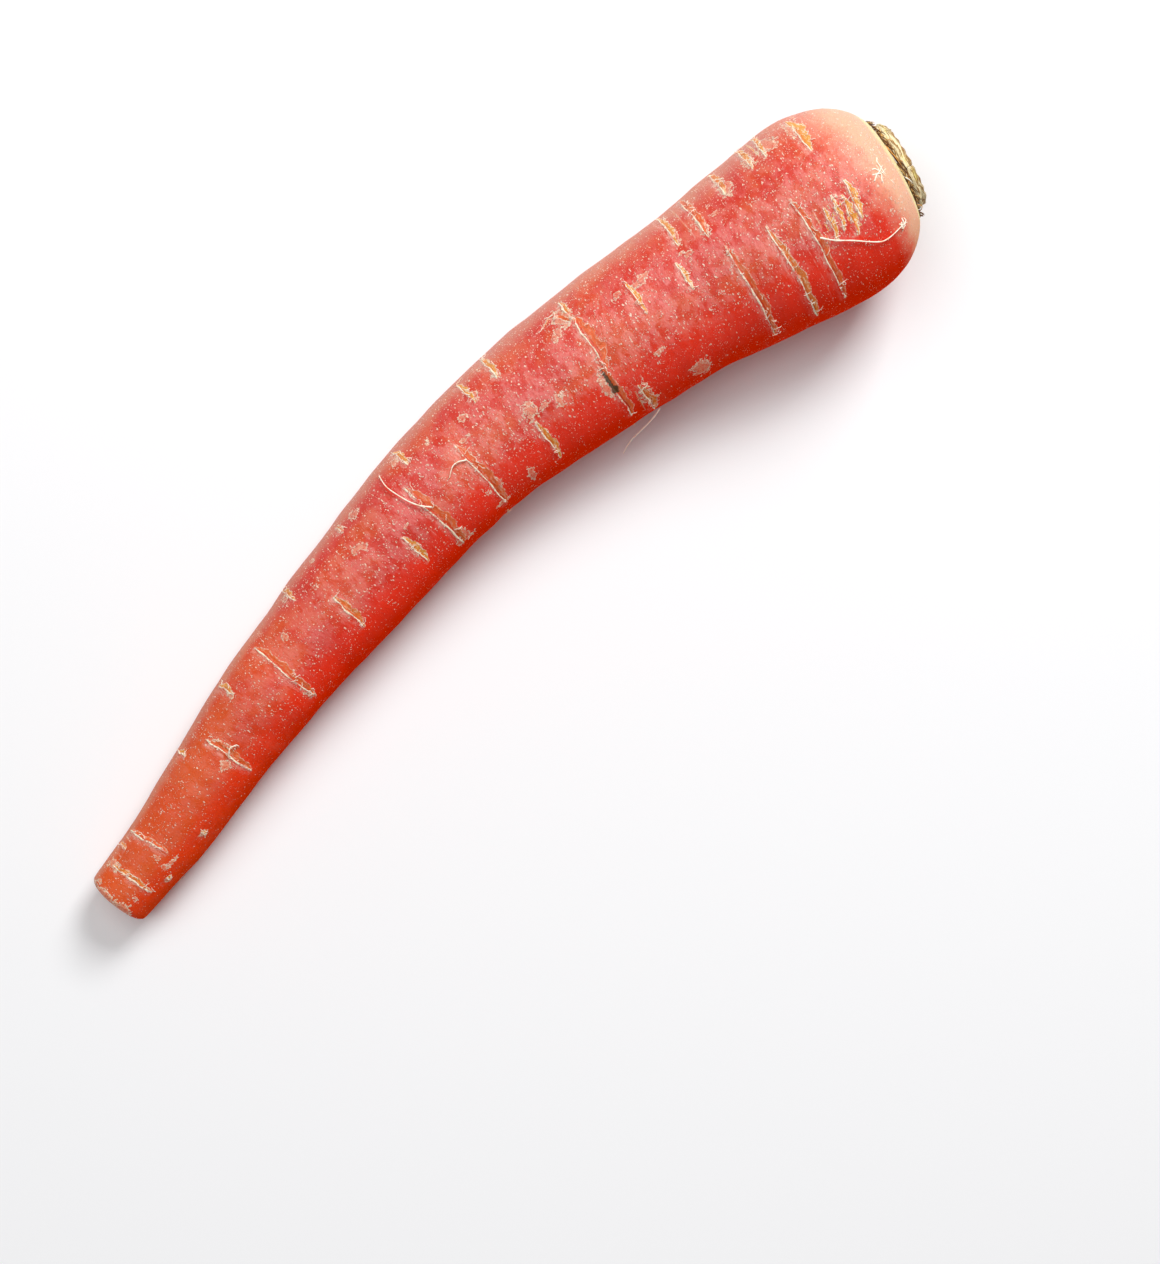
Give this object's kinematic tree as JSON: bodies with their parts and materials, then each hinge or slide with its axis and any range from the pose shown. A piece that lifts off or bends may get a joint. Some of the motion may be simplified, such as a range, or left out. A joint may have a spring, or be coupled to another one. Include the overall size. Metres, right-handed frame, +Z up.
{
  "type": "carrot",
  "caption": "Red carrot root lying on its side, with a broad shoulder, a bowed tapering body, a blunt tip and trimmed leaf stalks.",
  "frame": {"origin": "on the surface the carrot lies on, under the middle of its bounding box", "axes": "+X from the tip towards the crown, +Z up from the surface, the root bows towards +Y"},
  "size_m": [0.2072, 0.0428, 0.0369],
  "materials": {
    "root_skin": "fresh red carrot skin, slightly glossy, with fine pale specks, cracks and flakes",
    "dried_fibre": "dry dark brown plant fibre, matt",
    "leaf_stalk": "cut olive-yellow plant stalk, matt",
    "bud": "green plant bud, matt",
    "rootlet": "cream dry rootlet, matt"
  },
  "bodies": {
    "root": {"taproot": "root_skin", "crown_fibres": "dried_fibre", "leaf_stalk_1": "leaf_stalk", "leaf_stalk_2": "leaf_stalk", "leaf_stalk_3": "leaf_stalk", "leaf_stalk_4": "leaf_stalk", "leaf_stalk_5": "leaf_stalk", "leaf_stalk_6": "leaf_stalk", "leaf_stalk_7": "leaf_stalk", "leaf_stalk_8": "leaf_stalk", "leaf_stalk_9": "leaf_stalk", "growing_point": "bud", "rootlet_shoulder": "rootlet", "rootlet_side": "rootlet", "rootlet_middle_1": "rootlet", "rootlet_middle_2": "rootlet", "rootlet_tip": "rootlet"}
  },
  "joints": []
}
